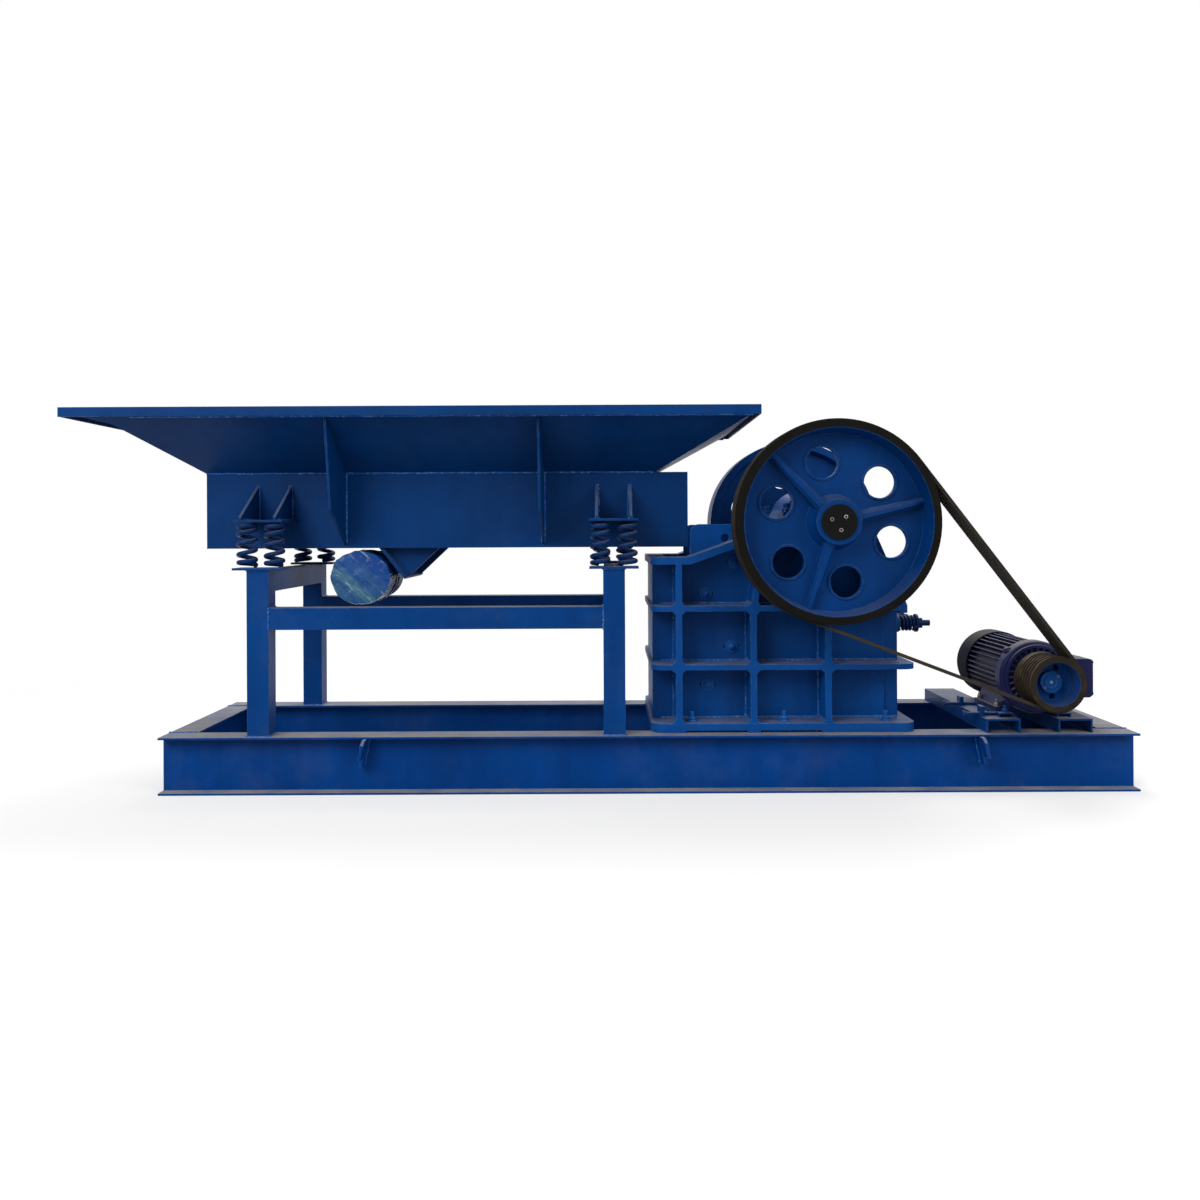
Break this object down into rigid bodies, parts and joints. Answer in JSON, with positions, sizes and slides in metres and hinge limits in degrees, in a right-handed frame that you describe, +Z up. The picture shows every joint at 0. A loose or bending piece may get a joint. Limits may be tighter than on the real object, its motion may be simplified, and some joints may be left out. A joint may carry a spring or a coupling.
{
  "type": "skid-mounted jaw crusher",
  "caption": "Jaw crusher with flywheels and a belt-driven motor on an H-beam skid, fed by a hopper on a spring-carried vibrating trough.",
  "frame": {"origin": "on the ground, in the middle of the machine's length and width", "axes": "+X along the skid from the hopper to the motor, +Y away from the belt side, +Z up"},
  "size_m": [4.62, 1.292, 1.671],
  "materials": {
    "skid_paint": "satin blue enamel, dusty on top",
    "stand_paint": "satin blue enamel",
    "spring_paint": "blue enamel over spring steel",
    "feeder_paint": "satin blue enamel",
    "vibrator_paint": "blue enamel",
    "crusher_paint": "blue enamel over rough plate",
    "wheel_paint": "blue enamel over casting",
    "jaw_steel": "bare manganese steel",
    "cap_black": "matt black",
    "belt_rubber": "worn black rubber",
    "pulley_steel": "bare worn casting",
    "motor_paint": "violet blue enamel"
  },
  "bodies": {
    "plant": {"barrel_covers": "crusher_paint", "bearing_housings": "crusher_paint", "belt_tension_screws": "stand_paint", "crusher_base": "crusher_paint", "crusher_cross_beams": "skid_paint", "drive_belts": "belt_rubber", "end_beams": "skid_paint", "end_stretchers": "stand_paint", "feed_end_wall": "crusher_paint", "feeder_legs": "stand_paint", "feeder_springs": "spring_paint", "fixed_jaw_plate": "jaw_steel", "front_rail": "skid_paint", "front_side_frame": "crusher_paint", "motor_fan_cover": "motor_paint", "motor_housing": "motor_paint", "rear_rail": "skid_paint", "rear_side_frame": "crusher_paint", "side_liners": "crusher_paint", "side_stretchers": "stand_paint", "slide_channels": "stand_paint", "slide_rails": "stand_paint", "spring_seats": "stand_paint", "swing_jaw": "crusher_paint", "swing_jaw_plate": "jaw_steel", "tension_rods": "jaw_steel", "tension_springs": "spring_paint", "terminal_box": "motor_paint", "tie_hooks": "skid_paint", "toggle_end_wall": "crusher_paint", "toggle_plate": "jaw_steel", "toggle_seat": "crusher_paint"},
    "feeder": {"feeder_trough": "feeder_paint", "spring_brackets": "feeder_paint", "hopper_front_panel": "feeder_paint", "hopper_rear_panel": "feeder_paint", "hopper_loading_panel": "feeder_paint", "hopper_discharge_panel": "feeder_paint", "hopper_rim": "feeder_paint", "hopper_gussets": "feeder_paint", "vibrator_mount": "feeder_paint", "vibrator": "vibrator_paint"},
    "rotor": {"eccentric_shaft": "jaw_steel", "drive_flywheel": "wheel_paint", "rear_flywheel": "wheel_paint", "hub_caps": "cap_black"},
    "motor_rotor": {"motor_pulley": "pulley_steel", "motor_shaft": "jaw_steel"}
  },
  "joints": [
    {"name": "flywheel_spin", "type": "hinge", "parent": "plant", "child": "rotor", "pos_m": [0.973, 0, 1.172], "axis": [0, 1, 0], "continuous": true},
    {"name": "motor_spin", "type": "hinge", "parent": "plant", "child": "motor_rotor", "pos_m": [1.888, -0.54, 0.488], "axis": [0, 1, 0], "continuous": true},
    {"name": "feeder_bounce", "type": "slide", "parent": "plant", "child": "feeder", "axis": [0, 0, 1], "range_m": [-0.012, 0.012], "stiffness_N_per_m": 300000, "springref_m": 0.0202, "deforming": ["feeder_springs"]}
  ],
  "couplings": [
    {"joint": "motor_spin", "follows": "flywheel_spin", "ratio": 3.6667}
  ]
}
